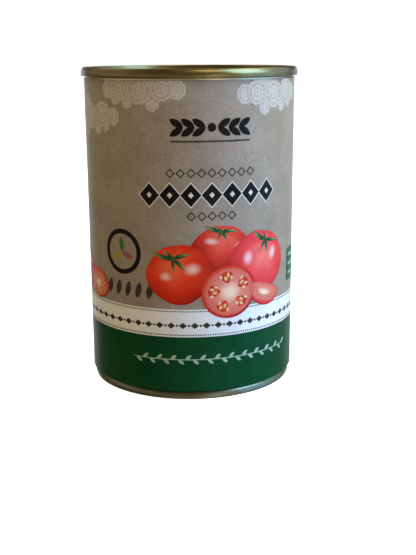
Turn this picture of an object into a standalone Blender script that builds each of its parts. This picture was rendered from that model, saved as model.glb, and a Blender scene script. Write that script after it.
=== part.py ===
"""A shut 400 g food tin: a steel body in a wrapped paper label, between two seamed ends.

Metres, +Z up. The origin is the middle of the circle the tin stands on, and the
front of the label faces -Y.
"""

import math

import bpy

# Driving dimensions, in metres
HEIGHT = 0.110
LABEL_RADIUS = 0.0367
TOP_SEAM_RADIUS = 0.03775
BOTTOM_SEAM_RADIUS = 0.0360
TOP_SEAM_HEIGHT = 0.0029
BOTTOM_SEAM_HEIGHT = 0.0027
SEAM_WIDTH = 0.0015
CREST_FLAT = 0.0004  # flat ring along the crest of a seam, which the tin stands on
LABEL_LOW_EDGE = 0.0031
LABEL_TOP_MARGIN = 0.0036  # seam and bare steel above the paper
PAPER = 0.0002
LAP_STEP = 0.00015  # how far the glued end of the paper stands over the other end
GAP = 0.0003  # clearance between neighbouring pieces

# Pressed panel of each end
RECESS_DEPTH = 0.0031  # from the seam's crest to the panel
GROOVE_RADIUS = 0.0006  # half width of the countersink groove round the panel
GROOVE_DROP = 0.0006  # from the panel to the middle of the groove's curve
WALL_LEAN = 0.0005  # how far the chuck wall leans in on its way down
PLATE = 0.0005
BEAD_RADII = (0.0215, 0.0275)
BEAD_HALF_WIDTH = 0.0016
BEAD_HEIGHT = 0.0006

# Necked lower end of the body
NECK_HEIGHT = 0.0022
NECK_WALL = 0.0004

# Resolution of the turned pieces
SEGMENTS = 72
CREST_POINTS = 4
HEM_POINTS = 3
GROOVE_POINTS = 5
BEAD_POINTS = 4

# Glued lap of the label, as steps of the turned pieces' facets from +X
LAP_FIRST_STEP = 18
LAP_LAST_STEP = 21

# Worked out from the above
BODY_RADIUS = LABEL_RADIUS - PAPER - GAP
HEM_RADIUS = SEAM_WIDTH / 3
END_DEPTH = RECESS_DEPTH + GROOVE_DROP + GROOVE_RADIUS + PLATE


def clear_scene():
    """Removes every object, so that the file holds the tin alone."""
    for old in list(bpy.data.objects):
        bpy.data.objects.remove(old, do_unlink=True)


def make_material(name, colour, roughness, metallic):
    """A Principled material of one linear colour."""
    material = bpy.data.materials.new(name)
    material.use_nodes = True
    material.diffuse_color = (*colour, 1.0)
    shader = material.node_tree.nodes["Principled BSDF"]
    shader.inputs["Base Color"].default_value = (*colour, 1.0)
    shader.inputs["Roughness"].default_value = roughness
    shader.inputs["Metallic"].default_value = metallic
    return material


def arc(centre, radius, start, end, count):
    """Points (r, z) along an arc about a centre, from one angle in degrees to another."""
    points = []
    for step in range(count):
        angle = math.radians(start + (end - start) * step / (count - 1))
        r = centre[0] + radius * math.cos(angle)
        z = centre[1] + radius * math.sin(angle)
        points.append((r, z))
    return points


def beaded_panel(level):
    """Points across a panel from the axis outwards, with a raised ring at each bead radius."""
    points = [(0.0, level)]
    for middle in BEAD_RADII:
        for step in range(BEAD_POINTS):
            across = -1.0 + 2.0 * step / (BEAD_POINTS - 1)
            rise = BEAD_HEIGHT * (1.0 + math.cos(math.pi * across)) / 2.0
            points.append((middle + across * BEAD_HALF_WIDTH, level + rise))
    return points


def end_profile(seam_radius, seam_height, skirt_radius):
    """Outline (r, z) of a seamed end whose crest is at z = 0, from the axis round to the axis.

    It crosses the beaded panel, dips into the countersink groove, climbs the leaning
    chuck wall, goes over the seam's crest, and comes back under the hem and the plate.
    """
    crest_radius = (SEAM_WIDTH - CREST_FLAT) / 2.0
    outer_crest = (seam_radius - crest_radius, -crest_radius)
    inner_crest = (outer_crest[0] - CREST_FLAT, -crest_radius)
    wall_foot = seam_radius - SEAM_WIDTH - WALL_LEAN
    groove = (wall_foot - GROOVE_RADIUS, -RECESS_DEPTH - GROOVE_DROP)
    hem = (seam_radius - HEM_RADIUS, HEM_RADIUS - seam_height)

    points = beaded_panel(-RECESS_DEPTH)
    points.append((groove[0] - GROOVE_RADIUS, -RECESS_DEPTH))
    points += arc(groove, GROOVE_RADIUS, 180.0, 360.0, GROOVE_POINTS)
    points += arc(inner_crest, crest_radius, 180.0, 90.0, CREST_POINTS)
    points += arc(outer_crest, crest_radius, 90.0, 0.0, CREST_POINTS)
    points += arc(hem, HEM_RADIUS, 0.0, -90.0, HEM_POINTS)
    points.append((skirt_radius, -seam_height))
    points.append((skirt_radius, -END_DEPTH))
    points.append((0.0, -END_DEPTH))
    return points


def turn(name, profile, material, collection):
    """Turns an outline (r, z) about Z into one closed piece."""
    mesh = bpy.data.meshes.new(name)
    edges = [(index, index + 1) for index in range(len(profile) - 1)]
    mesh.from_pydata([(r, 0.0, z) for r, z in profile], edges, [])
    mesh.materials.append(material)
    piece = bpy.data.objects.new(name, mesh)
    collection.objects.link(piece)
    screw = piece.modifiers.new("Turn", "SCREW")
    screw.axis = "Z"
    screw.steps = SEGMENTS
    screw.render_steps = SEGMENTS
    screw.use_merge_vertices = True
    screw.merge_threshold = 0.00001
    screw.use_smooth_shade = True
    return piece


def build_body(collection):
    """The steel wall and its filling, necked in above the lower seam."""
    neck_foot = BOTTOM_SEAM_HEIGHT + GAP
    recess_radius = BOTTOM_SEAM_RADIUS - SEAM_WIDTH + GAP
    foot_radius = recess_radius + NECK_WALL
    recess_top = END_DEPTH + GAP
    top = HEIGHT - END_DEPTH - GAP
    profile = [
        (0.0, top),
        (BODY_RADIUS, top),
        (BODY_RADIUS, neck_foot + NECK_HEIGHT),
        (foot_radius, neck_foot),
        (recess_radius, neck_foot),
        (recess_radius, recess_top),
        (0.0, recess_top),
    ]
    steel = make_material("tinplate", (0.56, 0.52, 0.42), 0.35, 1.0)
    return turn("steel_body", profile, steel, collection)


def build_top_end(collection):
    """The gold-lacquered upper end, whose seam stands out past the label."""
    gold = make_material("gold_lacquer", (0.38, 0.29, 0.13), 0.3, 1.0)
    profile = end_profile(TOP_SEAM_RADIUS, TOP_SEAM_HEIGHT, BODY_RADIUS)
    piece = turn("top_end", profile, gold, collection)
    piece.location.z = HEIGHT
    return piece


def build_bottom_end(collection):
    """The lower end, turned over so that it stands on the crest of its seam."""
    skirt_radius = BOTTOM_SEAM_RADIUS - SEAM_WIDTH
    profile = end_profile(BOTTOM_SEAM_RADIUS, BOTTOM_SEAM_HEIGHT, skirt_radius)
    plain = make_material("bare_end", (0.50, 0.46, 0.36), 0.35, 1.0)
    piece = turn("bottom_end", profile, plain, collection)
    piece.rotation_euler.x = math.pi
    return piece


def label_outline():
    """Outer outline (x, y) of the paper, with the step at each side of the glued lap."""
    points = []
    for step in range(SEGMENTS):
        angle = math.tau * step / SEGMENTS
        radii = [LABEL_RADIUS]
        if LAP_FIRST_STEP <= step <= LAP_LAST_STEP:
            radii = [LABEL_RADIUS + LAP_STEP]
        if step == LAP_FIRST_STEP:
            radii = [LABEL_RADIUS, LABEL_RADIUS + LAP_STEP]
        if step == LAP_LAST_STEP:
            radii = [LABEL_RADIUS + LAP_STEP, LABEL_RADIUS]
        points += [(r * math.cos(angle), r * math.sin(angle)) for r in radii]
    return points


def circle(radius):
    """Points (x, y) of a circle with the turned pieces' number of sides."""
    angles = [math.tau * step / SEGMENTS for step in range(SEGMENTS)]
    return [(radius * math.cos(angle), radius * math.sin(angle)) for angle in angles]


def build_label(collection):
    """The paper sleeve: a flat ring outline raised to the label's height."""
    top = HEIGHT - LABEL_TOP_MARGIN
    outline = bpy.data.curves.new("paper_label", "CURVE")
    outline.dimensions = "2D"
    outline.fill_mode = "BOTH"
    outline.extrude = (top - LABEL_LOW_EDGE) / 2.0
    for points in (label_outline(), circle(LABEL_RADIUS - PAPER)):
        spline = outline.splines.new("POLY")
        spline.points.add(len(points) - 1)
        for point, (x, y) in zip(spline.points, points):
            point.co = (x, y, 0.0, 1.0)
        spline.use_cyclic_u = True
    outline.materials.append(make_material("kraft_paper", (0.22, 0.19, 0.15), 0.55, 0.0))
    piece = bpy.data.objects.new("paper_label", outline)
    collection.objects.link(piece)
    piece.location.z = (top + LABEL_LOW_EDGE) / 2.0
    return piece


def main():
    clear_scene()
    tin = bpy.data.collections.new("food_tin")
    bpy.context.scene.collection.children.link(tin)
    build_body(tin)
    build_top_end(tin)
    build_bottom_end(tin)
    build_label(tin)


main()
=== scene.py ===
"""Looks of a shut 400 g food tin: lacquered ends, a satin steel wall and a printed paper label.

Lengths are metres. A place on the paper is (along, up): the distance along the paper
from the middle of its front, to the right, and the height above the floor.
"""

import logging
import math
from collections.abc import Callable, Sequence
from dataclasses import dataclass, field
from enum import Enum
from functools import cache

import bmesh
import bpy
from mathutils import Matrix, Vector

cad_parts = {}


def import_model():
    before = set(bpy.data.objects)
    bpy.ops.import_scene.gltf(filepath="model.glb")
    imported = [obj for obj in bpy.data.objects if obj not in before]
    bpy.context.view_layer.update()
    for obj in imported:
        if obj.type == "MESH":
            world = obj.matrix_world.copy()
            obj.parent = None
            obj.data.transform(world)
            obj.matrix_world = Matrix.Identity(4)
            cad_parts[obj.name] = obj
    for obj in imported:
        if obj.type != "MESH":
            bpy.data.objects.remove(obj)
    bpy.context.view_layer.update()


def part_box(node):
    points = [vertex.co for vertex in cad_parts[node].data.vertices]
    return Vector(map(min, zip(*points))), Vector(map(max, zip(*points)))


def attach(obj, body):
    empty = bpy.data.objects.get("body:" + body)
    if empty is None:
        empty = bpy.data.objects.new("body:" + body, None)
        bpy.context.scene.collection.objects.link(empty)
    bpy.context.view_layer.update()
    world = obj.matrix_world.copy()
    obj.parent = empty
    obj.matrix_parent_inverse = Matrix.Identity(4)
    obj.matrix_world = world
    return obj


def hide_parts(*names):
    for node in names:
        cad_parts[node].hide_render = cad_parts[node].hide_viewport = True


LOG = logging.getLogger("tin")

Tree = bpy.types.NodeTree
Socket = bpy.types.NodeSocket
Material = bpy.types.Material
Object = bpy.types.Object
Shape = bmesh.types.BMesh
Colour = tuple[float, float, float, float]
Place = tuple[float, float]
Outline = Callable[[float], Place]
Mark = tuple[float, float, Place, int]

BODY = "root"
PICTURE_MAP = "picture"
TURN_STEPS = 240
SHARP_ANGLE = math.radians(40.0)
TOP_SEAM_HEIGHT = 0.0029
BOTTOM_SEAM_HEIGHT = 0.0027
SATIN_COAT = {"IOR": 1.5, "Specular IOR Level": 0.1}  # over all the print: a weak, soft shine


def linear(code: str) -> Colour:
    """Turns an sRGB hex colour into linear light.

    Args:
        code: Six hex digits after a hash sign.

    Returns:
        Red, green, blue and an alpha of 1.
    """
    parts = [int(code[start : start + 2], 16) / 255.0 for start in (1, 3, 5)]
    red, green, blue = (
        part / 12.92 if part <= 0.04045 else ((part + 0.055) / 1.055) ** 2.4 for part in parts
    )
    return (red, green, blue, 1.0)


def add_node(
    tree: Tree, kind: str, settings: dict | None = None, links: dict | None = None
) -> bpy.types.Node:
    """Adds a node to a tree, with its settings and links.

    Args:
        tree: The node tree of a material or of the world.
        kind: Blender's name for the node's type.
        settings: Values by property name, by input name or by input number. The
            value of "stops" is a list of places and hex colours for a colour ramp.
        links: Output sockets of other nodes, by the input that each one feeds.

    Returns:
        The new node.
    """
    node = tree.nodes.new(kind)
    for key, value in (settings or {}).items():
        if key == "stops":
            ramp = node.color_ramp.elements
            while len(ramp) < len(value):
                ramp.new(1.0)
            for element, (place, code) in zip(ramp, value):
                element.position = place
                element.color = linear(code)
        elif isinstance(key, str) and hasattr(node, key):
            setattr(node, key, value)
        else:
            node.inputs[key].default_value = value
    for key, source in (links or {}).items():
        tree.links.new(source, node.inputs[key])
    return node


def bare_tree(owner: Material | bpy.types.World) -> Tree:
    """Gives a material or the world an empty node tree.

    Args:
        owner: The material or the world.

    Returns:
        Its tree.
    """
    owner.use_nodes = True
    owner.node_tree.nodes.clear()
    return owner.node_tree


def new_material(name: str, values: dict) -> tuple[Material, bpy.types.Node]:
    """Makes a material with one Principled shader.

    Args:
        name: The material's name.
        values: Constant values by input name of the shader.

    Returns:
        The material and its shader node.
    """
    material = bpy.data.materials.new(name)
    tree = bare_tree(material)
    shader = add_node(tree, "ShaderNodeBsdfPrincipled", values)
    add_node(tree, "ShaderNodeOutputMaterial", links={"Surface": shader.outputs[0]})
    return material, shader


@dataclass(frozen=True)
class RolledMetal:
    """Tinned sheet steel, pressed and rolled to shape: satin, with faint rings from the tools."""

    name: str
    bright: str
    dull: str
    roughness: float
    patch_size: float = 0.012  # metres across one tarnished patch
    ring_pitch: float = 0.0004  # the real rings are finer, and are drawn as coarse as shows
    coat: float = 0.0  # clear lacquer, whose colourless shine lies over the metal's
    coat_roughness: float = 0.22
    edge: str = "#c8c0b0"  # the metal's colour at a grazing view
    stray: tuple[float, float] = (-0.06, 0.08)  # how far the roughness strays over the patches
    ring_strength: float = 0.12
    ring_depth: float = 0.00005

    def material(self) -> Material:
        """Builds the metal, whose rings run round the tin's axis.

        Returns:
            The material.
        """
        material, shader = new_material(
            self.name,
            {
                "Metallic": 1.0,
                "Specular Tint": linear(self.edge),
                "Coat Weight": self.coat,
                "Coat Roughness": self.coat_roughness,
            },
        )
        tree = material.node_tree
        place = add_node(tree, "ShaderNodeTexCoord").outputs["Object"]
        parts = add_node(tree, "ShaderNodeSeparateXYZ", links={0: place})
        flat = add_node(
            tree, "ShaderNodeCombineXYZ", links={0: parts.outputs[0], 1: parts.outputs[1]}
        )
        radius = add_node(
            tree, "ShaderNodeVectorMath", {"operation": "LENGTH"}, {0: flat.outputs[0]}
        )
        ringed = add_node(
            tree,
            "ShaderNodeCombineXYZ",
            links={0: radius.outputs["Value"], 2: parts.outputs[2]},
        )
        rings = add_node(
            tree,
            "ShaderNodeTexNoise",
            {"Scale": 1.0 / self.ring_pitch, "Detail": 2.0},
            {"Vector": ringed.outputs[0]},
        )
        patches = add_node(
            tree,
            "ShaderNodeTexNoise",
            {"Scale": 1.0 / self.patch_size, "Detail": 5.0, "Roughness": 0.6},
            {"Vector": place},
        )
        colour = add_node(
            tree,
            "ShaderNodeValToRGB",
            {"stops": [(0.35, self.dull), (0.65, self.bright)]},
            {0: patches.outputs["Fac"]},
        )
        least, most = (self.roughness + stray for stray in self.stray)
        shine = add_node(
            tree,
            "ShaderNodeMapRange",
            {"To Min": least, "To Max": most},
            {"Value": patches.outputs["Fac"]},
        )
        bump = add_node(
            tree,
            "ShaderNodeBump",
            {"Strength": self.ring_strength, "Distance": self.ring_depth},
            {"Height": rings.outputs["Fac"]},
        )
        tree.links.new(colour.outputs["Color"], shader.inputs["Base Color"])
        tree.links.new(shine.outputs["Result"], shader.inputs["Roughness"])
        tree.links.new(bump.outputs["Normal"], shader.inputs["Normal"])
        return material


@dataclass(frozen=True)
class KraftLabel:
    """Satin-coated label paper, printed as flecked kraft over a white and a green band."""

    name: str = "satin_coated_kraft_print"
    pale: str = "#aa9b8a"
    brown: str = "#988a77"
    fleck: str = "#54483a"
    white: str = "#faf7f0"
    white_dark: str = "#f4f1ea"
    green: str = "#004c26"
    green_dark: str = "#004321"
    green_top: float = 0.0224
    white_top: float = 0.0320
    cloud_size: float = 0.009
    grain_size: float = 0.0011
    grain_share: float = 0.55  # of the mottling, beside the clouds
    fleck_spacing: float = 0.0035
    fleck_edge: tuple[float, float] = (0.05, 0.11)  # of the spacing, from full to faded
    fleck_strength: float = 0.75
    fibre_scale: float = 0.35  # of the grain's
    ripple_width: float = 0.15  # of the height of one of the paper's faint upright ripples
    ripple_strength: float = 0.25
    ripple_depth: float = 0.0002
    roughness: float = 0.33
    stray: float = 0.08  # how far the roughness strays either way

    def kraft(self, tree: Tree, place: Socket) -> Socket:
        """Draws the mottled brown ground with its dark flecks and fibres.

        Args:
            tree: The material's node tree.
            place: Object coordinates.

        Returns:
            The colour of the ground.
        """
        clouds = add_node(
            tree,
            "ShaderNodeTexNoise",
            {"Scale": 1.0 / self.cloud_size, "Detail": 3.0},
            {"Vector": place},
        )
        grain = add_node(
            tree,
            "ShaderNodeTexNoise",
            {"Scale": 1.0 / self.grain_size, "Detail": 3.0, "Roughness": 0.7},
            {"Vector": place},
        )
        blend = add_node(
            tree,
            "ShaderNodeMix",
            {0: self.grain_share},
            {2: clouds.outputs["Fac"], 3: grain.outputs["Fac"]},
        )
        ground = add_node(
            tree,
            "ShaderNodeValToRGB",
            {"stops": [(0.38, self.brown), (0.62, self.pale)]},
            {0: blend.outputs[0]},
        )
        cells = add_node(
            tree, "ShaderNodeTexVoronoi", {"Scale": 1.0 / self.fleck_spacing}, {"Vector": place}
        )
        full, faded = self.fleck_edge
        dots = add_node(
            tree,
            "ShaderNodeMapRange",
            {"From Min": full, "From Max": faded, "To Min": self.fleck_strength, "To Max": 0.0},
            {"Value": cells.outputs["Distance"]},
        )
        wisps = add_node(
            tree,
            "ShaderNodeTexNoise",
            {"Scale": self.fibre_scale / self.grain_size, "Detail": 1.0, "Distortion": 1.8},
            {"Vector": place},
        )
        fibres = add_node(
            tree,
            "ShaderNodeValToRGB",
            {"stops": [(0.695, "#000000"), (0.72, "#8c8c8c"), (0.745, "#000000")]},
            {0: wisps.outputs["Fac"]},
        )
        marks = add_node(
            tree,
            "ShaderNodeMath",
            {"operation": "MAXIMUM"},
            {0: dots.outputs["Result"], 1: fibres.outputs["Color"]},
        )
        flecked = add_node(
            tree,
            "ShaderNodeMix",
            {"data_type": "RGBA", 7: linear(self.fleck)},
            {0: marks.outputs[0], 6: ground.outputs["Color"]},
        )
        return flecked.outputs[2]

    def band(self, tree: Tree, height: Socket, top: float, above: Socket, below: Socket) -> Socket:
        """Changes from one colour to another at a level.

        Args:
            tree: The material's node tree.
            height: The height above the floor.
            top: The level of the change.
            above: The colour over that level.
            below: The colour under it.

        Returns:
            The joined colour.
        """
        step = add_node(
            tree, "ShaderNodeMath", {"operation": "GREATER_THAN", 1: top}, {0: height}
        )
        joined = add_node(
            tree,
            "ShaderNodeMix",
            {"data_type": "RGBA"},
            {0: step.outputs[0], 6: below, 7: above},
        )
        return joined.outputs[2]

    def material(self) -> Material:
        """Builds the printed paper.

        Returns:
            The material.
        """
        material, shader = new_material(self.name, SATIN_COAT)
        tree = material.node_tree
        place = add_node(tree, "ShaderNodeTexCoord").outputs["Object"]
        height = add_node(tree, "ShaderNodeSeparateXYZ", links={0: place}).outputs[2]
        tone = add_node(
            tree,
            "ShaderNodeTexNoise",
            {"Scale": 1.0 / self.cloud_size, "Detail": 6.0, "Roughness": 0.65},
            {"Vector": place},
        ).outputs["Fac"]
        green = add_node(
            tree,
            "ShaderNodeValToRGB",
            {"stops": [(0.35, self.green_dark), (0.65, self.green)]},
            {0: tone},
        )
        white = add_node(
            tree,
            "ShaderNodeValToRGB",
            {"stops": [(0.3, self.white_dark), (0.6, self.white)]},
            {0: tone},
        )
        upper = self.band(
            tree, height, self.white_top, self.kraft(tree, place), white.outputs["Color"]
        )
        colour = self.band(tree, height, self.green_top, upper, green.outputs["Color"])
        shine = add_node(
            tree,
            "ShaderNodeMapRange",
            {"To Min": self.roughness - self.stray, "To Max": self.roughness + self.stray},
            {"Value": tone},
        )
        stretched = add_node(
            tree, "ShaderNodeMapping", {"Scale": (1.0, 1.0, self.ripple_width)}, {"Vector": place}
        )
        ripples = add_node(
            tree,
            "ShaderNodeTexNoise",
            {"Scale": 1.0 / self.cloud_size, "Detail": 1.0},
            {"Vector": stretched.outputs[0]},
        )
        bump = add_node(
            tree,
            "ShaderNodeBump",
            {"Strength": self.ripple_strength, "Distance": self.ripple_depth},
            {"Height": ripples.outputs["Fac"]},
        )
        tree.links.new(colour, shader.inputs["Base Color"])
        tree.links.new(shine.outputs["Result"], shader.inputs["Roughness"])
        tree.links.new(bump.outputs["Normal"], shader.inputs["Normal"])
        return material


@dataclass(frozen=True)
class PrintInk:
    """One even printing ink under the label's satin coat, with the slight mottle of print."""

    name: str
    full: str
    thin: str
    mottle_size: float = 0.0012
    roughness: float = KraftLabel.roughness

    def material(self) -> Material:
        """Builds the ink.

        Returns:
            The material.
        """
        material, shader = new_material(self.name, {**SATIN_COAT, "Roughness": self.roughness})
        tree = material.node_tree
        place = add_node(tree, "ShaderNodeTexCoord").outputs["Object"]
        mottle = add_node(
            tree,
            "ShaderNodeTexNoise",
            {"Scale": 1.0 / self.mottle_size, "Detail": 2.0},
            {"Vector": place},
        )
        colour = add_node(
            tree,
            "ShaderNodeValToRGB",
            {"stops": [(0.3, self.thin), (0.6, self.full)]},
            {0: mottle.outputs["Fac"]},
        )
        tree.links.new(colour.outputs["Color"], shader.inputs["Base Color"])
        return material


@dataclass(frozen=True)
class ShadedInk:
    """Printed picture colour that runs from a lit spot to the shape's edge, with soft glints.

    Places count from the shape's middle, with its edge at 1.
    """

    name: str
    stops: tuple[tuple[float, str], ...]  # from the dark edge (0) to the lit spot (1)
    lit: Place = (-0.15, 0.25)
    spread: float = 1.35  # how far the shading reaches from the lit spot
    glints: tuple[tuple[float, float, float, float], ...] = ()  # (x, y, half width, half height)
    glint_colour: str = "#ffc9b8"
    ribs: int = 0  # the fruit's shallow ribs, which run out from the stalk
    rib_depth: float = 0.07
    rib_reach: float = 1.9  # how far from the stalk the ribs have faded
    stalk: Place = (0.0, 0.45)
    mottle: float = 0.14
    mottle_scale: float = 5.0  # patches of the mottle across the shape
    roughness: float = KraftLabel.roughness

    def spot(
        self, tree: Tree, place: Socket, middle: Place, half: Place, kind: str = "SPHERICAL"
    ) -> Socket:
        """Draws a gradient about a point.

        Args:
            tree: The material's node tree.
            place: The picture map, from 0 to 1 over the shape.
            middle: The gradient's middle.
            half: The half width and half height at which a spherical one has faded.
            kind: Blender's name for the gradient's type.

        Returns:
            The strength of the gradient.
        """
        shift = [-(1.0 + middle[axis]) / half[axis] for axis in (0, 1)]
        moved = add_node(
            tree,
            "ShaderNodeMapping",
            {"Location": (*shift, 0.0), "Scale": (2.0 / half[0], 2.0 / half[1], 1.0)},
            {"Vector": place},
        )
        gradient = add_node(
            tree,
            "ShaderNodeTexGradient",
            {"gradient_type": kind},
            {"Vector": moved.outputs[0]},
        )
        return gradient.outputs["Fac"]

    def ribbed(self, tree: Tree, place: Socket, level: Socket) -> Socket:
        """Adds the shading of the ribs, which fades away from the stalk.

        Args:
            tree: The material's node tree.
            place: The picture map.
            level: The shading so far.

        Returns:
            The shading with the ribs.
        """
        turn = self.spot(tree, place, self.stalk, (1.0, 1.0), "RADIAL")
        fade = self.spot(tree, place, self.stalk, (self.rib_reach, self.rib_reach))
        angle = add_node(
            tree, "ShaderNodeMath", {"operation": "MULTIPLY", 1: math.tau * self.ribs}, {0: turn}
        )
        wave = add_node(tree, "ShaderNodeMath", {"operation": "SINE"}, {0: angle.outputs[0]})
        depth = add_node(
            tree, "ShaderNodeMath", {"operation": "MULTIPLY", 1: self.rib_depth}, {0: fade}
        )
        joined = add_node(
            tree,
            "ShaderNodeMath",
            {"operation": "MULTIPLY_ADD"},
            {0: wave.outputs[0], 1: depth.outputs[0], 2: level},
        )
        return joined.outputs[0]

    def material(self) -> Material:
        """Builds the shaded ink.

        Returns:
            The material.
        """
        material, shader = new_material(self.name, {**SATIN_COAT, "Roughness": self.roughness})
        tree = material.node_tree
        place = add_node(tree, "ShaderNodeUVMap", {"uv_map": PICTURE_MAP}).outputs[0]
        shade = self.spot(tree, place, self.lit, (self.spread, self.spread))
        noise = add_node(
            tree,
            "ShaderNodeTexNoise",
            {"Scale": self.mottle_scale, "Detail": 4.0},
            {"Vector": place},
        )
        uneven = add_node(
            tree,
            "ShaderNodeMath",
            {"operation": "MULTIPLY_ADD", 1: self.mottle},
            {0: noise.outputs["Fac"], 2: shade},
        )
        level = uneven.outputs[0]
        if self.ribs:
            level = self.ribbed(tree, place, level)
        ramp = add_node(tree, "ShaderNodeValToRGB", {"stops": self.stops}, {0: level})
        colour = ramp.outputs["Color"]
        for x, y, half_width, half_height in self.glints:
            fade = self.spot(tree, place, (x, y), (half_width, half_height))
            soft = add_node(
                tree, "ShaderNodeMapRange", {"interpolation_type": "SMOOTHSTEP"}, {"Value": fade}
            )
            mixed = add_node(
                tree,
                "ShaderNodeMix",
                {"data_type": "RGBA", 7: linear(self.glint_colour)},
                {0: soft.outputs["Result"], 6: colour},
            )
            colour = mixed.outputs[2]
        tree.links.new(colour, shader.inputs["Base Color"])
        return material


class Metal(Enum):
    """Metals of the tin."""

    GOLD_LACQUER = RolledMetal("gold_lacquered_tinplate", "#7c6a33", "#6b5a2a", 0.32, coat=1.0)
    TINPLATE = RolledMetal("satin_tinplate", "#6c6c54", "#61614a", 0.32, coat=1.0)
    BODY_WALL = RolledMetal("bright_tinplate", "#d0c9ac", "#c0b99c", 0.32)


class Ink(Enum):
    """Inks of the label."""

    BLACK = PrintInk("warm_black_ink", "#15100d", "#1f1814")
    GREY = PrintInk("dark_grey_ink", "#3a342d", "#4a433a")
    PALE = PrintInk("opaque_pale_ink", "#e9e5da", "#dcd6c8")
    MIST = PrintInk("thin_pale_ink", "#ccc0b2", "#beb1a2")
    LACE = PrintInk("lace_thread_ink", "#e2d9ce", "#d6ccc0")
    EYELET = PrintInk("lace_eyelet_ink", "#b0a293", "#a59685")
    SAGE = PrintInk("pale_sage_ink", "#a9c2a8", "#93b094")
    GREEN = PrintInk("deep_green_ink", "#14602f", "#0f5229")
    LEAF = PrintInk("leaf_green_ink", "#4f7a35", "#446c2e")
    STRAW = PrintInk("straw_yellow_ink", "#b9a04c", "#a8913f")
    ROSE = PrintInk("dusty_rose_ink", "#a4606a", "#96545e")
    SEED = PrintInk("seed_ink", "#f0d9a0", "#e2c587")
    CREAM = PrintInk("cream_panel_ink", "#e2dccb", "#d8d1be")


class Shade(Enum):
    """Shaded inks of the pictures."""

    RIPE = ShadedInk(
        "ripe_tomato_ink",
        ((0.06, "#8a1408"), (0.28, "#cc2a12"), (0.6, "#f2401e"), (1.0, "#ff6a42")),
        glints=((0.42, 0.12, 0.34, 0.26), (-0.42, -0.02, 0.26, 0.20)),
        ribs=6,
    )
    ROSY = ShadedInk(
        "rosy_tomato_ink",
        ((0.06, "#9c1a1c"), (0.28, "#d83636"), (0.6, "#f24a46"), (1.0, "#ff7a70")),
        lit=(0.1, 0.2),
        glints=((-0.46, 0.10, 0.22, 0.30), (0.48, 0.30, 0.20, 0.30)),
        glint_colour="#ffd0cc",
        ribs=7,
        stalk=(0.15, 0.55),
    )
    DEEP = ShadedInk(
        "shaded_tomato_ink",
        ((0.10, "#6a0e0a"), (0.34, "#b02218"), (0.62, "#e03c2a"), (1.0, "#f6664e")),
        lit=(0.0, 0.50),
        glints=((-0.40, 0.42, 0.30, 0.16), (0.52, 0.30, 0.18, 0.18)),
        ribs=6,
        stalk=(0.0, 0.75),
    )
    FLESH = ShadedInk(
        "tomato_flesh_ink",
        ((0.04, "#cc4030"), (0.16, "#e2705c"), (0.6, "#ec8a74"), (0.92, "#ffdcb8")),
        lit=(0.0, 0.0),
        spread=1.0,
    )
    GEL = ShadedInk(
        "seed_gel_ink",
        ((0.0, "#b82414"), (0.5, "#d83e20"), (0.95, "#ee7444")),
        lit=(0.0, 0.0),
        spread=1.2,
    )
    SEPAL = ShadedInk(
        "sepal_green_ink",
        ((0.0, "#14442c"), (0.45, "#2a6638"), (0.95, "#7fae62")),
        lit=(0.45, 0.25),
        spread=1.1,
    )


@cache
def dressed(kind: Enum) -> Material:
    """The material of a metal or an ink, made once.

    Args:
        kind: A member whose value is a finish.

    Returns:
        The material.
    """
    return kind.value.material()


@cache
def label_paper() -> Material:
    """The label's material, shared by the sleeve and its lap."""
    return KraftLabel().material()


def set_down(name: str, data: bpy.types.ID) -> Object:
    """Adds an object to the scene.

    Args:
        name: The object's name.
        data: Its mesh, lamp or camera.

    Returns:
        The object.
    """
    made = bpy.data.objects.new(name, data)
    bpy.context.scene.collection.objects.link(made)
    return made


def publish(
    name: str, mesh: Shape, materials: Sequence[Material], stands_for: str | None = None
) -> Object:
    """Turns a bmesh into a piece of the tin.

    Args:
        name: The piece's name.
        mesh: The finished shape, in the tin's frame. It is freed here.
        materials: The piece's materials, in the order of its faces' indices.
        stands_for: The node that the piece replaces, if any.

    Returns:
        The new object.
    """
    bmesh.ops.recalc_face_normals(mesh, faces=mesh.faces[:])
    data = bpy.data.meshes.new(name)
    mesh.to_mesh(data)
    mesh.free()
    for material in materials:
        data.materials.append(material)
    data.shade_smooth()
    data.set_sharp_from_angle(angle=SHARP_ANGLE)
    piece = set_down(name, data)
    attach(piece, BODY)
    if stands_for:
        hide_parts(stands_for)
    LOG.info("%s: %d faces", name, len(data.polygons))
    return piece


def arc(centre: Place, radius: float, start: float, end: float, count: int) -> list[Place]:
    """Points along an arc.

    Args:
        centre: The arc's centre (r, z).
        radius: The arc's radius.
        start: The first angle, in degrees.
        end: The last angle, in degrees.
        count: How many points.

    Returns:
        The points (r, z).
    """
    angles = [math.radians(start + (end - start) * step / (count - 1)) for step in range(count)]
    return [
        (centre[0] + radius * math.cos(angle), centre[1] + radius * math.sin(angle))
        for angle in angles
    ]


def turned(profile: Sequence[Place], closed: bool = False) -> Shape:
    """Spins a profile about the tin's axis.

    Args:
        profile: Points (r, z), from the axis back to the axis, or a loop.
        closed: Whether the profile is a loop that stays off the axis.

    Returns:
        The turned shape.
    """
    mesh = bmesh.new()
    verts = [mesh.verts.new((r, 0.0, z)) for r, z in profile]
    pairs = list(zip(verts, verts[1:]))
    if closed:
        pairs.append((verts[-1], verts[0]))
    edges = [mesh.edges.new(pair) for pair in pairs]
    bmesh.ops.spin(
        mesh,
        geom=verts + edges,
        cent=(0.0, 0.0, 0.0),
        axis=(0.0, 0.0, 1.0),
        angle=math.tau,
        steps=TURN_STEPS,
        use_merge=True,
    )
    bmesh.ops.remove_doubles(mesh, verts=mesh.verts[:], dist=1e-7)
    return mesh


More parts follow.
